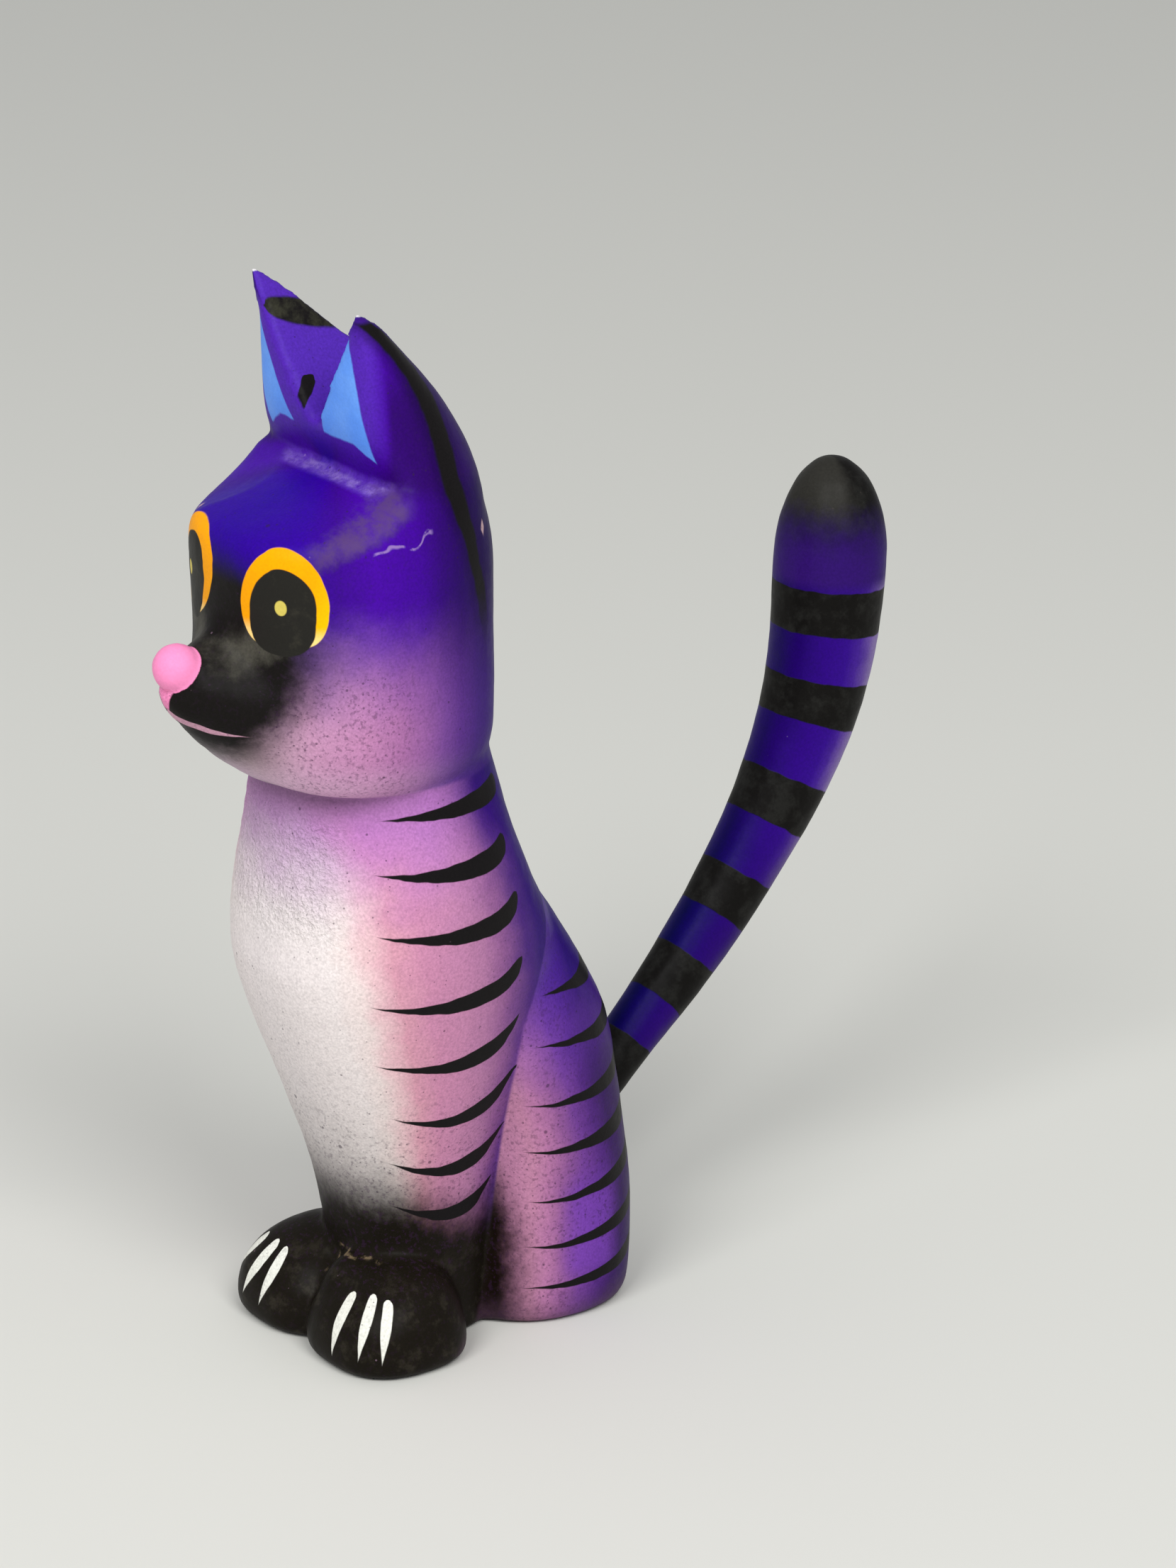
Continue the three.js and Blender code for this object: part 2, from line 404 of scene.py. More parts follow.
blunt_brush = new_brush("blunt_stroke", [(0, 0), (0.2, 0.28), (0.4, 0.58), (0.6, 0.85), (0.8, 0.98),
                                         (0.93, 0.97), (0.98, 0.66), (1, 0)])
flick_brush = new_brush("flicked_stroke", [(0, 0), (0.25, 0.36), (0.5, 0.7), (0.7, 0.95), (0.82, 1),
                                           (0.92, 0.68), (1, 0)])


def stroke(brush, across, up, tip, end, bow, half):
    """One brush stroke on a surface, from its fine tip to its full end, hanging down by the bow."""
    step = (end[0] - tip[0], end[1] - tip[1])
    join = bench.nodes.new("ShaderNodeCombineXYZ")
    feed(join.inputs[0], across)
    feed(join.inputs[1], up)
    turned = bench.nodes.new("ShaderNodeMapping")
    turned.vector_type = "TEXTURE"
    turned.inputs["Location"].default_value = (*tip, 0)
    turned.inputs["Rotation"].default_value = (0, 0, math.atan2(step[1], step[0]))
    bench.links.new(join.outputs[0], turned.inputs[0])
    along, off, _ = parts_of(turned.outputs[0])
    group = bench.nodes.new("ShaderNodeGroup")
    group.node_tree = brush
    for port, value in zip(group.inputs, (along, off, math.hypot(*step), bow, half)):
        feed(port, value)
    return Level(group.outputs[0])


paint, place, facing = start_paint("cat_paint")
x, y, z = parts_of(place)
facing_x, facing_y, _ = parts_of(facing)
side = size_of(x)

# What keeps hand work uneven: the drift of the airbrush, frayed edges, a shaking hand and wear
clouds = blotches(place, 7)
drift = clouds - 0.5
wisps = blotches(place, 2.2, 5.0, 0.65)
fray = wisps - 0.5
shake = blotches(place, 3.5, 1.0) - 0.5
worn = blotches(place, 4.5, 6.0, 0.7)

# Ways round each mass in mm, counted from its front: the chest, the haunches and the head
CHEST_Y, HAUNCH_Y, HEAD_Y = -32.5, -8.0, -42.14
BODY_ROUND, HEAD_ROUND = 24.06, 25.78
chest_way = worked("ARCTAN2", side, CHEST_Y - y) * BODY_ROUND
haunch_way = worked("ARCTAN2", side, HAUNCH_Y - y) * BODY_ROUND
face_way = worked("ARCTAN2", x, HEAD_Y - y) * HEAD_ROUND
face_side = size_of(face_way)

# The head ends at the chin, and the chest ends at the groove that leans back before each haunch
NECK_TOP, CHIN = 111.2, 112.2
GROOVE_FOOT, GROOVE_LEAN, GROOVE_BEND_FROM, GROOVE_BEND = 17.3, 0.162, 62, 0.25
on_head = fade(z, NECK_TOP, CHIN)
groove_way = GROOVE_FOOT + z * GROOVE_LEAN + above(z, GROOVE_BEND_FROM) * GROOVE_BEND
on_haunch = fade(haunch_way - groove_way, -0.45, 0.45) * fade(z, 91, 85)

# Chest and flanks, from white in front to violet behind, with lilac higher up, and on the throat
# mauve-grey spray darkened by a painted shadow under the chin
CHEST_SPRAY = [(-8, 231, 223, 224), (14, 240, 230, 229), (17.5, 240, 224, 222), (20.5, 236, 200, 205),
               (24.5, 219, 158, 178), (29, 208, 142, 176), (34, 202, 138, 176), (39, 184, 125, 168),
               (43.5, 150, 96, 152), (47, 112, 68, 138), (50, 78, 40, 128), (54, 52, 16, 118),
               (62, 42, 10, 108), (76, 38, 8, 104)]
LILAC, THROAT_SHADOW_AND_MAUVE = (184, 120, 194), (134, 98, 134)
leaning = chest_way + (z - 80) * 0.15 + above(z, 98) * 0.65 + drift * 5
chest = blended(leaning, *CHEST_SPRAY)
lilac = fade(z + drift * 8, 84, 109) * fade(chest_way, 44, 30)
chest = over(chest, LILAC, lilac * 0.85)
# A painted shadow under the chin, over mauve-grey spray on the throat
chest = over(chest, THROAT_SHADOW_AND_MAUVE, fade(z, 103, 111) * fade(chest_way, 34, 10) * 0.75)

# Haunches, from pink at the groove to violet behind, with a deeper violet at their top
HAUNCH_SPRAY = [(18, 186, 130, 164), (25, 194, 134, 168), (29.5, 194, 134, 166), (32.5, 182, 120, 164),
                (36, 148, 92, 152), (40, 116, 66, 152), (44, 84, 43, 128), (48, 60, 30, 98),
                (53, 52, 24, 88), (66, 44, 15, 92), (76, 40, 12, 92)]
TOP_SPRAY = [(24, 84, 48, 140), (30, 96, 54, 160), (36, 74, 36, 146), (42, 42, 6, 114), (76, 34, 3, 96)]
LOW_VIOLET, HIGH_VIOLET = (126, 70, 184), (110, 62, 186)
risen = haunch_way + above(z, 36) * 0.31 + drift * 4
haunch = blended(risen, *HAUNCH_SPRAY)
low_patch = fade(haunch_way, 34, 40) * fade(haunch_way, 51, 45) * fade(z, 34, 22) * fade(z, 6, 12)
haunch = over(haunch, LOW_VIOLET, low_patch * 0.7)
haunch = over(haunch, HIGH_VIOLET, fade(z, 44, 60) * 0.3)
haunch = over(haunch, blended(haunch_way, *TOP_SPRAY), fade(z + drift * 8, 58, 70))

# Black blown up from the paws, through grey smoke mixed with painted shade where the chest curves in
# below, and along the groove at the foot of each haunch
SMOKE_AND_SHADE, PAW_BLACK, GROOVE_BLACK, FOOT_SHADE = (128, 122, 114), (28, 25, 20), (26, 20, 16), (92, 66, 86)
# Grey low on the front of the chest: overspray, and painted shade where the chest curves in below
smoke_and_shade = fade(z + drift * 10, 58, 34) * fade(chest_way, 32, 20)
chest = over(chest, SMOKE_AND_SHADE, smoke_and_shade * 0.35)
black_up = z + fade(chest_way, 24, 50) * 7 + fray * 6
chest = over(chest, PAW_BLACK, fade(black_up, 41, 24.5))
groove_dark = fade(haunch_way + fray * 5, 33, 22)
groove_dark *= fade(z + (haunch_way - 24) * 1.2 + fray * 6, 35, 18)
haunch = over(haunch, GROOVE_BLACK, groove_dark)
# Painted shade over the lowest few mm of each haunch, next to the floor
haunch = over(haunch, FOOT_SHADE, fade(z + fray * 5, 7, 0) * 0.5)
colour = over(chest, haunch, on_haunch)

# Head: mauve cheeks under a deep violet brow, lighter on the walls of the ears, with painted light from
# below under the chin, painted light on the flanks of the ears and painted shade behind them
BROW_SPRAY = [(0, 46, 3, 148), (18, 52, 6, 152), (25, 60, 14, 140), (32, 72, 14, 162), (40, 66, 12, 152),
              (45, 52, 12, 118), (49, 43, 9, 100), (57, 34, 4, 80), (82, 30, 3, 74)]
CHEEK_SPRAY = [(0, 150, 142, 148), (8, 180, 158, 166), (14, 197, 160, 182), (20, 200, 149, 183),
               (30, 193, 133, 178), (36, 174, 113, 168), (41, 152, 96, 163), (45, 124, 75, 156),
               (49, 96, 53, 142), (54, 72, 38, 128), (60, 58, 26, 118), (82, 44, 10, 106)]
LIT_EAR_SIDE, SHADED_EAR_BACK, CHIN_PAINTED_LIGHT, EAR_INSIDE = (88, 44, 182), (46, 12, 96), (236, 196, 228), (84, 45, 174)
brow = blended(face_side, *BROW_SPRAY)
cheek = blended(face_side, *CHEEK_SPRAY)
head = over(cheek, brow, fade(z + drift * 7, 123, 150))
# Painted light on the flanks of the ears, and painted shade on their backs
lit_ear_side = fade(z, 168, 176) * fade(face_side, 39, 33)
head = over(head, LIT_EAR_SIDE, lit_ear_side * 0.9)
ear_back = fade(z, 164, 168) * fade(z, 192, 180) * fade(face_side, 37, 39.5)
head = over(head, SHADED_EAR_BACK, ear_back * 0.8)
# Painted light from below, under the chin and on the lowest cheeks
head = over(head, CHIN_PAINTED_LIGHT, fade(z, 121, 113.5) * fade(face_side, 56, 20) * 0.45)
inner_wall = fade(facing_x * worked("SIGN", x), -0.2, -0.5) * fade(z, 174, 177)
head = over(head, EAR_INSIDE, inner_wall)

# A rubbed, pale line in a haze where the forehead meets the ears, and a painted highlight along the edge
# of the jaw, in the chin's crease
BROW_HAZE, BROW_RUB, JAW_EDGE_HIGHLIGHT = (104, 66, 186), (150, 124, 200), (150, 128, 146)
BROW_LINE_Z = 166.3
brow_line = fade(y, -47.5, -46) * fade(y, -36, -40) * fade(x, -14, -8) * fade(x, 20, 17)
off_line = size_of(z - BROW_LINE_Z + shake * 1.2)
haze = brow_line * fade(off_line, 2.2, 0.3) * fade(worn, 0.25, 0.6)
head = over(head, BROW_HAZE, haze * 0.75)
rub = brow_line * fade(off_line, 0.75, 0.15) * fade(wisps, 0.3, 0.75)
head = over(head, BROW_RUB, rub * 0.75)
colour = over(colour, head, on_head)
# A painted highlight along the edge of the jaw
jaw_edge_highlight = fade(size_of(z - CHIN), 0.9, 0.1) * fade(face_side, 26, 6)
colour = over(colour, JAW_EDGE_HIGHLIGHT, jaw_edge_highlight * 0.7)

# Airbrushed black over the muzzle and between the eyes, thinner towards the chin, with grey dust and a
# painted sheen on top
MUZZLE_WIDTHS = [(116, 9), (120, 11), (123, 13), (126, 15.5), (130, 19), (134, 20.5), (138, 21.5),
                 (142, 21), (148, 15), (153, 9), (160, 3)]
MUZZLE_BLACK, MUZZLE_DUST_AND_SHEEN = (27, 25, 24), (86, 84, 75)
DUST_AND_SHEEN_Z, DUST_AND_SHEEN_WAY = 139.8, 8
muzzle_edge = traced(z, MUZZLE_WIDTHS)
muzzle = fade(face_side - muzzle_edge + fray * 5, 6.2, -6.2) * fade(z, 159, 150)
muzzle *= fade(z + fray * 4, 115.5, 123.5)
# Grey on top of the muzzle: dust and a painted sheen
off_dust_and_sheen = size_of(z - DUST_AND_SHEEN_Z) + size_of(face_side - DUST_AND_SHEEN_WAY) * 0.55 + (worn - 0.5) * 9
black_with_dust_and_sheen = over(MUZZLE_BLACK, MUZZLE_DUST_AND_SHEEN, fade(off_dust_and_sheen, 6, 0) * 0.75)
colour = over(colour, black_with_dust_and_sheen, muzzle * on_head)

# Stripes of the chest and of the haunches: brush, tip, end, how far it hangs and half its width
CHEST_STRIPES = [
    (blunt_brush, (20.5, 107.0), (52.5, 108.3), 0.75, 2.0),
    (blunt_brush, (19.8, 97.7), (48.8, 98.8), 2.0, 2.15),
    (blunt_brush, (20.0, 86.8), (48.8, 88.2), 2.9, 2.15),
    (blunt_brush, (18.8, 73.3), (48.7, 76.2), 3.7, 2.05),
    (flick_brush, (19.3, 60.8), (49.6, 65.3), 4.9, 2.0),
    (flick_brush, (22.0, 48.7), (51.5, 54.6), 5.8, 1.95),
    (flick_brush, (21.0, 38.8), (53.5, 41.9), 5.4, 1.95),
    (flick_brush, (21.5, 29.3), (54.5, 30.6), 4.4, 1.85),
]
HAUNCH_STRIPES = [
    (blunt_brush, (30.0, 66.4), (62.0, 67.5), 1.3, 2.2),
    (blunt_brush, (27.5, 57.2), (62.5, 59.0), 2.4, 1.95),
    (blunt_brush, (25.8, 45.4), (62.0, 50.0), 2.7, 1.95),
    (blunt_brush, (26.0, 35.5), (63.0, 40.5), 2.3, 2.15),
    (blunt_brush, (27.0, 25.0), (62.0, 33.0), 2.9, 1.9),
    (blunt_brush, (26.0, 16.0), (62.5, 23.5), 3.2, 1.8),
    (blunt_brush, (25.5, 8.0), (62.0, 15.0), 3.4, 1.75),
]


def striped(way, stripes):
    """All the stripes of one mass, drawn on the way round it and its height."""
    across = way + shake * 0.7
    up = z + shake * 0.5
    return most(*[stroke(brush, across, up, *line) for brush, *line in stripes])


chest_stripes = striped(chest_way, CHEST_STRIPES) * fade(on_haunch, 0.6, 0.4)
haunch_stripes = striped(haunch_way, HAUNCH_STRIPES) * on_haunch
stripes = most(chest_stripes, haunch_stripes) * fade(z, 112, 111.4)

# The black line down the back edge of each ear and of the head: its place and half its width by height
LINE_MIDDLE = [(134, -24.8), (140, -26.2), (148, -28.0), (153, -29.4), (157, -30.2), (162, -31.9),
               (167, -32.8), (172, -33.1), (179, -34.4), (184, -36.5), (188.5, -39.3), (192, -42.1),
               (195, -45.3), (198, -48.6)]
LINE_WIDTH = [(134, 0.5), (145, 1.3), (160, 1.7), (172, 2.1), (184, 2.0), (192, 1.7), (198, 1.2)]
LINE_HAZE = (30, 8, 66)
line_edge = size_of(y - traced(z, LINE_MIDDLE) + shake) - traced(z, LINE_WIDTH)
on_ear_back = fade(z + fray * 6, 134, 148) * fade(side, 8, 10) * (1 - inner_wall)
ear_line = fade(line_edge, 0.5, -0.35) * on_ear_back * fade(z, 197.0, 196.0)

# A broad black patch inside each ear, and a small black stroke in the valley between the ears
PATCH_WIDTH = [(-50, 0), (-48.2, 0.1), (-47.6, 1.4), (-46, 2.1), (-42, 2.4), (-34, 1.9), (-30, 1.8)]
patch_middle = 193.0 - (y + 47) * 0.28
patch_edge = traced(y, PATCH_WIDTH) - size_of(z - patch_middle + shake * 0.5)
ear_patch = fade(patch_edge, -0.1, 0.5) * inner_wall
valley_mark = stroke(flick_brush, y + shake, z, (-48.0, 174.8), (-43.2, 181.8), -0.9, 1.4) * inner_wall
STROKE_BLACK, STROKE_WEAR_AND_SHEEN = (27, 25, 26), (62, 62, 50)
brushed = most(stripes, ear_line, ear_patch, valley_mark)
colour = over(colour, LINE_HAZE, fade(line_edge, 3.2, 0) * on_ear_back * 0.6)
# The ear patches go grey in blotches, from wear and a painted sheen
stroke_black = over(STROKE_BLACK, STROKE_WEAR_AND_SHEEN, ear_patch * fade(worn, 0.42, 0.66) * 0.7)
colour = over(colour, stroke_black, brushed)

# Blue patches on the fronts of the ears, narrower on the right ear
BLUE, PALE_BLUE = (98, 154, 247), (120, 172, 250)
facing_front = fade(facing_y, -0.5, -0.66)
on_right = fade(x, 0.5, -0.5)
inner_limit = 2.6 + on_right * (4.0 + (z - 173.4) * 0.48)
outer_limit = 15.7 + (z - 172) * (on_right * 0.25 - 0.13)
blue = fade(side - inner_limit, -0.3, 0.2) * fade(side - outer_limit + shake * 0.4, 0.25, -0.25)
low_edge = 173.8 - above(side, 11) * 0.6
blue *= fade(z - low_edge + shake, -0.3, 0.3) * fade(z, 196.4, 195.4) * facing_front
colour = over(colour, over(BLUE, PALE_BLUE, (clouds - 0.4) * 2), blue)

# The eyes: their middles, and how far out the rim and the black of each lie by the angle round it
NEAR_EYE, FAR_EYE = (14.7, 147.5), (-10.5, 149.0)
NEAR_RIM = [(0, 8.8), (25, 9.3), (50, 10.4), (72, 11.05), (90, 11.15), (110, 10.45), (137, 9.2),
            (162, 8.65), (190, 8.6), (214, 8.55), (236, 7.85), (260, 7.1), (286, 7.1), (308, 7.75),
            (328, 8.5), (345, 8.7), (360, 8.8)]
NEAR_BLACK = [(0, 6.6), (15, 6.85), (35, 7.3), (60, 7.65), (85, 7.75), (109, 7.2), (133, 6.6),
              (161, 6.3), (180, 6.4), (201, 6.95), (219, 7.75), (240, 8.25), (268, 8.1), (297, 8.15),
              (317, 7.8), (338, 6.95), (350, 6.65), (360, 6.6)]
FAR_RIM = [(0, 7.7), (10, 8.35), (22, 9.2), (38, 10.15), (58, 10.35), (85, 10.15), (108, 10.3),
           (130, 10.45), (151, 10.2), (180, 9.6), (214, 9.35), (235, 8.8), (258, 7.95), (284, 7.35),
           (305, 6.9), (325, 6.8), (345, 7.1), (360, 7.7)]
FAR_BLACK = [(0, 4.9), (12, 5.0), (35, 6.0), (58, 7.05), (78, 7.35), (110, 7.15), (146, 7.2),
             (180, 7.0), (215, 7.9), (248, 8.9), (270, 8.6), (285, 7.35), (303, 6.0), (335, 4.75),
             (360, 4.9)]
ORANGE, YELLOW_ORANGE, RIM_CREAM = (255, 168, 2), (255, 196, 4), (255, 226, 150)
EYE_BLACK, EYE_PAINTED_SHEEN, HIGHLIGHT = (40, 39, 36), (60, 58, 50), (214, 196, 96)
EYE_EDGE, HIGHLIGHT_EDGE, HIGHLIGHT_NARROWING = (0.13, -0.13), (1.5, 1.2), 1.35


def eye(way, rise, rim, black, dot):
    """An orange eye with a black middle: masks of the rim, of the black and of the small highlight."""
    turn = worked("MODULO", worked("ARCTAN2", rise, way) * (180 / math.pi) + 360, 360)
    out = worked("SQRT", way * way + rise * rise)
    black_mask = fade(out - traced(turn, black), *EYE_EDGE)
    rim_mask = fade(out - traced(turn, rim), *EYE_EDGE)
    dot_way, dot_rise = way - dot[0], rise - dot[1]
    off = worked("SQRT", dot_way * dot_way * HIGHLIGHT_NARROWING + dot_rise * dot_rise)
    return rim_mask, black_mask, fade(off + shake * 0.3, *HIGHLIGHT_EDGE)


near_eye = eye(face_way - NEAR_EYE[0] + shake * 0.3, z - NEAR_EYE[1], NEAR_RIM, NEAR_BLACK, (0.2, 0.7))
far_eye = eye(face_way - FAR_EYE[0] + shake * 0.15, z - FAR_EYE[1], FAR_RIM, FAR_BLACK, (-2.6, 0.0))
front = fade(y, -44, -48) * on_head
for rim, black, dot in (near_eye, far_eye):
    glow = over(ORANGE, YELLOW_ORANGE, fade(size_of(face_side - 11) + (146 - z) * 0.5, 5, 14))
    colour = over(colour, over(glow, RIM_CREAM, fade(z, 145.5, 142.5) * 0.8), rim * front)
    # The black of each eye has blotches of painted sheen
    colour = over(colour, over(EYE_BLACK, EYE_PAINTED_SHEEN, fade(worn, 0.5, 0.7) * 0.6), black * front)
    colour = over(colour, HIGHLIGHT, dot * front)
eyes = most(near_eye[0], near_eye[1], far_eye[0], far_eye[1]) * front

# Pink nose, the short groove under it and the smile
NOSE_PINK, SMILE_PINK = (250, 146, 196), (208, 158, 180)
NOSE_EDGE = (4.7, 4.54)
SMILE_CORNER, SMILE_MIDDLE = (11.4, 125.0), (-1.0, 129.9)
from_nose = bench.nodes.new("ShaderNodeVectorMath")
from_nose.operation = "DISTANCE"
bench.links.new(place, from_nose.inputs[0])
from_nose.inputs[1].default_value = NOSE
nose = fade(Level(from_nose.outputs["Value"]) + shake * 0.1, *NOSE_EDGE)
groove_width = 1.3 + (z - 130) * 0.45
groove = fade(size_of(x + 0.4) - groove_width + shake * 0.5, 0.2, -0.2)
groove *= fade(z, 128.4, 129.4) * fade(z, 134, 133) * fade(y, -72, -74)
smile = stroke(blunt_brush, face_side, z + shake * 0.4, SMILE_CORNER, SMILE_MIDDLE, -2.2, 1.05) * front
colour = over(colour, SMILE_PINK, smile)
colour = over(colour, NOSE_PINK, most(nose, groove))

# White claws, three on each paw: tip, end, how far each bends and half its width
PAW_X, PAW_Y, PAW_ROUND = 11.3, -40.4, 14
NEAR_CLAWS = [((1.5, 2.6), (1.9, 14.2), 0.25, 1.6), ((7.5, 3.4), (8.4, 14.7), 0.2, 1.4),
              ((11.6, 3.1), (12.5, 14.2), 0.1, 1.3)]
FAR_CLAWS = [((0.4, 3.8), (2.2, 14.6), 0.6, 1.6), ((-5.2, 4.0), (-3.0, 14.8), 0.6, 1.8),
             ((-11.8, 5.4), (-9.4, 14.4), 0.5, 1.7)]
CLAW_WHITE = (238, 238, 228)


def claws(middle, strokes):
    """The claws of one forepaw, placed by the way round it from its front."""
    way = worked("ARCTAN2", x - middle, PAW_Y - y) * PAW_ROUND
    return most(*[stroke(blunt_brush, way + shake * 0.3, z, *each) for each in strokes])


near_claws = claws(PAW_X, NEAR_CLAWS)
far_claws = claws(-PAW_X, FAR_CLAWS)
claw_paint = most(near_claws, far_claws) * fade(y, -44, -45.5) * fade(z, 16.6, 15.8)
colour = over(colour, CLAW_WHITE, claw_paint)

# Fine dark spatter of the airbrush with its grit and mist, and a few pale droplets
SPATTER, GRIT, PALE_DROPS = (50, 32, 56), (58, 34, 64), (216, 176, 206)
low = fade(z + drift * 20, 70, 30) * fade(z, 8, 20) * (1 - on_head)
cheeks = fade(face_side, 8, 16) * fade(face_side, 44, 34) * fade(z, 142, 132) * on_head
peppered = most(low, cheeks, fade(haunch_way, 44, 36) * on_haunch * 0.8, 0.25)
clean = most(eyes, nose, blue)
spatter = most(droplets(place, 0.75, 0.22, peppered * 0.6), droplets(place, 1.3, 0.3, peppered * 0.45),
               droplets(place, 3.2, 0.5, peppered * 0.35)) * (1 - brushed) * (1 - clean * 0.85)
colour = over(colour, SPATTER, spatter * 0.58)
mist = blotches(place, 0.45, 2.0)
grit = fade(blotches(place, 0.8, 3.0), 0.53, 0.66) * peppered * (1 - brushed) * (1 - clean)
colour = over(colour, GRIT, grit * 0.4)
pale = droplets(place, 2.2, 0.36, 0.07) * fade(face_side, 52, 40)
colour = over(colour, PALE_DROPS, pale * 0.16)
colour = over(colour, shares(mist, 0.32, 0.68) * 0.22 + 0.80, 1 - clean * 0.6, "MULTIPLY")

# A dull scuff on the left of the brow, dark along its lower edge, with a pale ridge at its end
SCUFF, SCUFF_EDGE, RIDGE = (86, 62, 110), (40, 16, 74), (158, 128, 186)
SCUFF_WAY, SCUFF_Z, SCUFF_SLOPE = 22, 157.7, 0.42
scuff_up = (z - SCUFF_Z) - (face_side - SCUFF_WAY) * SCUFF_SLOPE + fray * 3.5
scuff = fade(size_of(scuff_up), 3.4, 1.2) * fade(size_of(face_way - 30 + shake * 3), 12.5, 7) * on_head
scuff *= 1 - eyes
colour = over(colour, SCUFF, scuff * (0.25 + fade(worn, 0.3, 0.62) * 0.6))
colour = over(colour, SCUFF_EDGE, fade(size_of(scuff_up + 3.2), 1.6, 0.3) * scuff * 0.5)
squiggle = z - 158.2 - fade(face_side, 40, 43) * 1.8 - shake * 3
ridge = fade(size_of(squiggle), 0.42, 0.1) * fade(size_of(face_way - 37.5), 6.5, 5.5)
colour = over(colour, RIDGE, ridge * fade(wisps, 0.36, 0.5) * 0.75)

# Dust and a painted sheen on the paws, and the paint rubbed through along the left one's crest and in the
# crease between them
PAW_DUST_AND_SHEEN, BARE_PULP = (56, 52, 44), (168, 146, 112)
paw_dust_and_sheen = fade(worn, 0.5, 0.68) * fade(z, 20, 12) * (1 - on_haunch)
colour = over(colour, PAW_DUST_AND_SHEEN, paw_dust_and_sheen * 0.6 * (1 - claw_paint))
paw_front = fade(y, -42, -43)
crest = fade(size_of(z - 17.5 + shake * 1.5), 0.4, 0.05) * fade(size_of(x - 5.5), 6.5, 5) * paw_front
crease_rub = fade(size_of(x + 0.6 + shake), 0.45, 0.1) * fade(size_of(z - 15), 2.6, 1.6) * paw_front
colour = over(colour, BARE_PULP, most(crest, crease_rub) * fade(wisps, 0.45, 0.65) * 0.45)

# Bare primer at the points of the ears, and chips at the forehead's corner and the back of the head
BARE_PRIMER, CHIPPED = (226, 222, 224), (206, 172, 176)
bare_tip = fade(z - on_right * RIGHT_EAR_EXTRA + fray * 0.8, 197.6, 197.95)
colour = over(colour, BARE_PRIMER, bare_tip)
corner_chip = fade(size_of(x + 15.8) + size_of(z - 158.9) + shake, 1.8, 0.8) * fade(y, -59.5, -60.5)
back_chip = fade(size_of(y + 25.5) * 1.6 + size_of(z - 157) * 0.6 + shake * 2, 1.2, 0.6)
back_chip *= fade(x, 17, 19)
colour = over(colour, CHIPPED, most(corner_chip, back_chip) * fade(wisps, 0.35, 0.5) * 0.85)

# Dullness and fine relief of the lacquer, with the primer's bumps high on the chest
PEEL_HEIGHT, PRIMER_HEIGHT, MIST_HEIGHT = 0.03, 0.9, 0.012
primer_zone = fade(z, 80, 90) * fade(z, 110, 103) * fade(chest_way, 22, 10) * (1 - on_head)
primer = blotches(place, 0.9, 3.0, 0.6) * primer_zone
orange_peel = blotches(place, 1.1, 2.0)
relief = orange_peel * PEEL_HEIGHT + primer * PRIMER_HEIGHT + mist * MIST_HEIGHT
dullness = 0.44 + fray * 0.2 + scuff * 0.12 + primer_zone * 0.08
finish_paint(colour, dullness, relief)
cat.data.materials.clear()
cat.data.materials.append(paint)
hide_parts("cat_body")
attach(cat, "root")


# The tail: a rod of pulp round a bent core, plugged into the rump. It is violet with six black bands
# and a black tip, paler towards its back, partly where the airbrush hardly reached it and partly as
# painted light on that side.
TAIL_GRAIN = 0.6
TAIL_HUMPS = [(9, 0.12), (3.4, 0.04), (1.6, 0.02)]

tail = pulp_skin("tail", "tail_painted", TAIL_GRAIN)

# The middle of the core that the tail is bent on, as (back, height) in mm from the root to the tip
TAIL_LINE = [(9.86, 30), (22.86, 42.5), (35.86, 55), (47.86, 69), (59.36, 86), (66.66, 104),
             (69.86, 131), (69.86, 147.3)]
STEPS_BETWEEN = 24


def tail_middle():
    """Points along the middle of the tail, with how far each is from its root, in mm."""
    core = bpy.data.curves.new("tail_core", "CURVE")
    core.dimensions = "3D"
    line = core.splines.new("NURBS")
    line.points.add(len(TAIL_LINE) - 1)
    for point, (back, height) in zip(line.points, TAIL_LINE):
        point.co = (0, back, height, 1)
    line.order_u = 3
    line.use_endpoint_u = True
    line.resolution_u = STEPS_BETWEEN
    holder = bpy.data.objects.new("tail_core", core)
    points = [v.co.copy() for v in holder.to_mesh().vertices]
    holder.to_mesh_clear()
    bpy.data.objects.remove(holder)
    bpy.data.curves.remove(core)
    gone = [0.0]
    for before, after in zip(points, points[1:]):
        gone.append(gone[-1] + (after - before).length)
    return points, gone


middle, gone = tail_middle()
rod = bmesh.new()
rod.from_mesh(tail.data)
sanded(rod, rod.verts, passes=12)
rod.normal_update()
for vert in rod.verts:
    spot = vert.co / MM
    vert.co += vert.normal * sum(swell(spot, size, height) for size, height in TAIL_HUMPS) * MM
for face in rod.faces:
    face.smooth = True
rod.to_mesh(tail.data)
rod.free()

# Each point of the skin carries its place along the tail, in mm, and round it, in degrees from behind
along = tail.data.attributes.new("along_tail", "FLOAT", "POINT")
behind = tail.data.attributes.new("behind_tail", "FLOAT", "POINT")
for vert in tail.data.vertices:
    spot = vert.co / MM
    flat = Vector((0, spot.y, spot.z))
    near = min(range(len(middle)), key=lambda i: (middle[i] - flat).length_squared)
    after = middle[min(near + 1, len(middle) - 1)]
    onward = (after - middle[max(near - 1, 0)]).normalized()
    offset = flat - middle[near]
    along.data[vert.index].value = gone[near] + offset.dot(onward)
    back = offset.y * onward.z - offset.z * onward.y
    behind.data[vert.index].value = math.degrees(math.atan2(abs(spot.x), -back))

tail_paint, place, _ = start_paint("tail_paint")


def carried(name):
    """A number that the skin carries at each of its points."""
    node = bench.nodes.new("ShaderNodeAttribute")
    node.attribute_name = name
    return Level(node.outputs["Fac"])


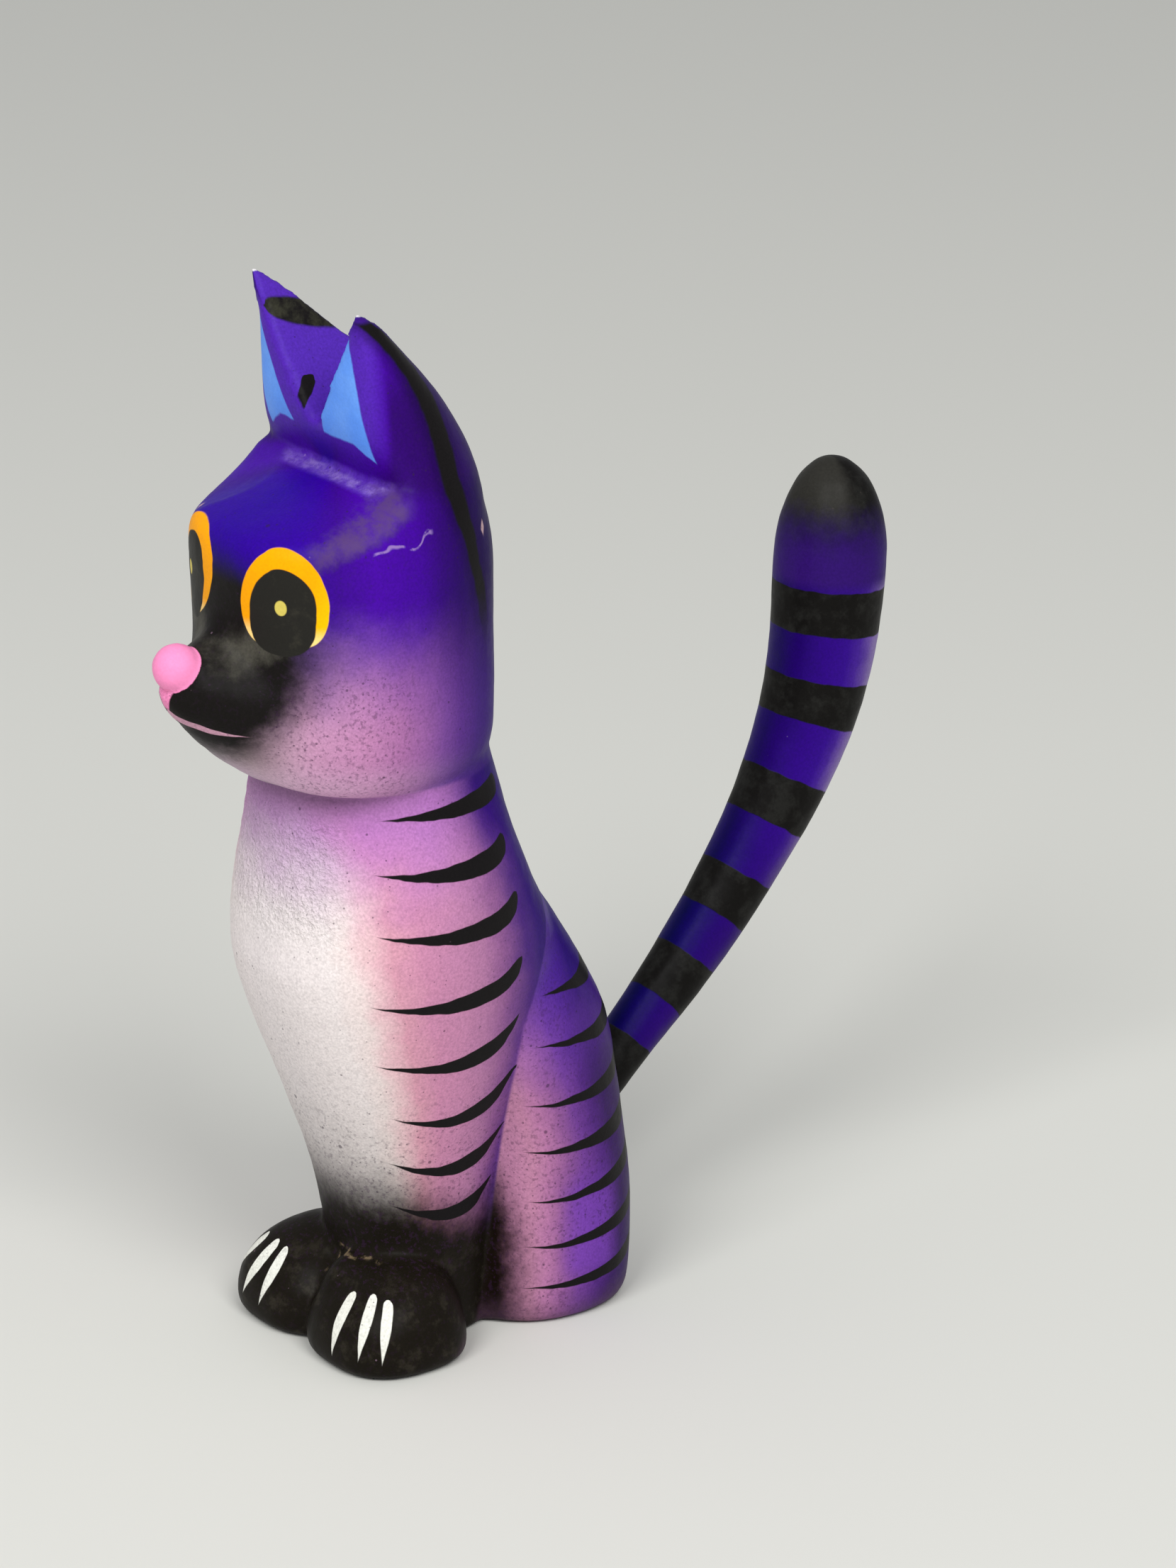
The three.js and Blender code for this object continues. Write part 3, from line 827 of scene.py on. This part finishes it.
drift = blotches(place, 6) - 0.5
fray = blotches(place, 2.2, 5.0, 0.65) - 0.5
shake = blotches(place, 4.0, 1.5) - 0.5
worn = blotches(place, 4.0, 6.0, 0.7)
run = carried("along_tail") + shake * 0.9
round_back = carried("behind_tail")

# Violet higher up and a deeper one low down, each by the way round the tail, paler behind partly as
# painted light, and darker before the tip
VIOLET_SPRAY = [(0, 26, 5, 84), (30, 36, 8, 104), (60, 46, 10, 124), (85, 52, 16, 134),
                (100, 70, 36, 146), (113, 104, 76, 160), (126, 134, 112, 174), (180, 142, 120, 178)]
DEEP_SPRAY = [(0, 7, 3, 66), (30, 22, 6, 92), (60, 36, 6, 104), (95, 44, 12, 110), (128, 60, 38, 108),
              (180, 66, 46, 112)]
BEFORE_TIP = (50, 22, 106)
violet = blended(round_back + drift * 20, *VIOLET_SPRAY)
deep = blended(round_back + drift * 20, *DEEP_SPRAY)
colour = over(deep, violet, fade(run, 42, 78))
colour = over(colour, BEFORE_TIP, fade(run, 112, 116))

# Black bands, each from its start to its end along the tail, and the black tip with a painted sheen on
# its front
BANDS = [(-20, 16.8), (26, 36), (45.3, 54.5), (65.5, 75), (86.5, 95), (104.5, 113.3)]
BAND_EDGE = 0.16
TAIL_BLACK, BAND_WEAR, TIP_PAINTED_SHEEN = (23, 22, 21), (40, 40, 38), (52, 51, 47)
bands = most(*[
    fade(run, start - BAND_EDGE, start + BAND_EDGE) * fade(run, end + BAND_EDGE, end - BAND_EDGE)
    for start, end in BANDS
])
tip = fade(run + fray * 5, 118, 131)
black = over(TAIL_BLACK, BAND_WEAR, fade(worn, 0.42, 0.66) * 0.7)
# A painted sheen on the front of the black tip
black = over(black, TIP_PAINTED_SHEEN, fade(run, 122, 133) * fade(round_back, 95, 60) * 0.8)
colour = over(colour, black, most(bands, tip))

# The airbrush's mist and pale droplets, and knocks in the paint towards the tip
DROPLET, KNOCK = (150, 130, 150), (150, 132, 128)
mist = blotches(place, 0.45, 2.0)
colour = over(colour, shares(mist, 0.32, 0.68) * 0.2 + 0.82, 1.0, "MULTIPLY")
colour = over(colour, DROPLET, droplets(place, 2.4, 0.3, 0.06) * 0.35)
knock = fade(worn, 0.66, 0.74) * fade(run, 108, 122)
colour = over(colour, KNOCK, knock * 0.4)
relief = blotches(place, 1.1, 2.0) * 0.035 + bands * 0.03 + mist * 0.012
finish_paint(colour, 0.45 + fray * 0.2 + knock * 0.2, relief)
tail.data.materials.clear()
tail.data.materials.append(tail_paint)
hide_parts("tail")
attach(tail, "root")


# The floor: one wide, plain sheet of pale card, laid flat for the cat to stand on. It is only the stage
# and no part of the object.
FLOOR_HALF = 3.0
FLOOR_COLOUR, FLOOR_DULLNESS, FLOOR_GLOSS = (214, 214, 208), 0.85, 0.1
sheet = bmesh.new()
bmesh.ops.create_grid(sheet, x_segments=1, y_segments=1, size=FLOOR_HALF)
floor_mesh = bpy.data.meshes.new("floor")
sheet.to_mesh(floor_mesh)
sheet.free()
floor = bpy.data.objects.new("floor", floor_mesh)
scene.collection.objects.link(floor)
floor_paint = bpy.data.materials.new("pale_floor")
floor_paint.use_nodes = True
floor_shader = floor_paint.node_tree.nodes["Principled BSDF"]
floor_shader.inputs["Base Color"].default_value = pigment(*FLOOR_COLOUR)
floor_shader.inputs["Roughness"].default_value = FLOOR_DULLNESS
floor_shader.inputs["Specular IOR Level"].default_value = FLOOR_GLOSS
floor_mesh.materials.append(floor_paint)


# The studio light: two square soft lamps high up, one to each side of the camera, and a nearly white
# light from all round that fills the shadows.
MIDDLE = Vector((0, 0.013, 0.095))
ALL_ROUND, ALL_ROUND_STRENGTH = (0.97, 0.98, 1.0, 1), 0.48


def aimed(holder, target, azimuth, elevation, distance):
    """Sets up a lamp or the camera round the target, in degrees and metres, and turns it to look there."""
    turn, rise = math.radians(azimuth), math.radians(elevation)
    flat = math.cos(rise)
    out = Vector((math.sin(turn) * flat, -math.cos(turn) * flat, math.sin(rise)))
    holder.location = target + out * distance
    holder.rotation_euler = (-out).to_track_quat("-Z", "Y").to_euler()
    scene.collection.objects.link(holder)


def soft_light(name, watts, width, azimuth, elevation, distance):
    """A square soft light that looks at the middle of the cat."""
    lamp = bpy.data.lights.new(name, "AREA")
    lamp.energy = watts
    lamp.size = width
    aimed(bpy.data.objects.new(name, lamp), MIDDLE, azimuth, elevation, distance)


soft_light("left_light", watts=19.5, width=0.85, azimuth=25, elevation=44, distance=2.0)
soft_light("right_light", watts=19.0, width=0.85, azimuth=76, elevation=44, distance=2.0)
world = bpy.data.worlds.new("studio")
world.use_nodes = True
world.node_tree.nodes["Background"].inputs["Color"].default_value = ALL_ROUND
world.node_tree.nodes["Background"].inputs["Strength"].default_value = ALL_ROUND_STRENGTH
scene.world = world


# The camera: it stands about a metre off, with a long lens, and looks down on the cat's left front. Its
# pictures keep the colours as they are.
CAMERA_AZIMUTH, CAMERA_ELEVATION, CAMERA_DISTANCE = 53.0, 20.5, 1.085
AIM = Vector((0, 0.01286, 0.0946))
LENS_MM, SENSOR_MM = 135.5, 36
lens = bpy.data.cameras.new("camera")
lens.lens = LENS_MM
lens.sensor_width = SENSOR_MM
camera = bpy.data.objects.new("camera", lens)
aimed(camera, AIM, CAMERA_AZIMUTH, CAMERA_ELEVATION, CAMERA_DISTANCE)
scene.camera = camera
scene.view_settings.view_transform = "Standard"
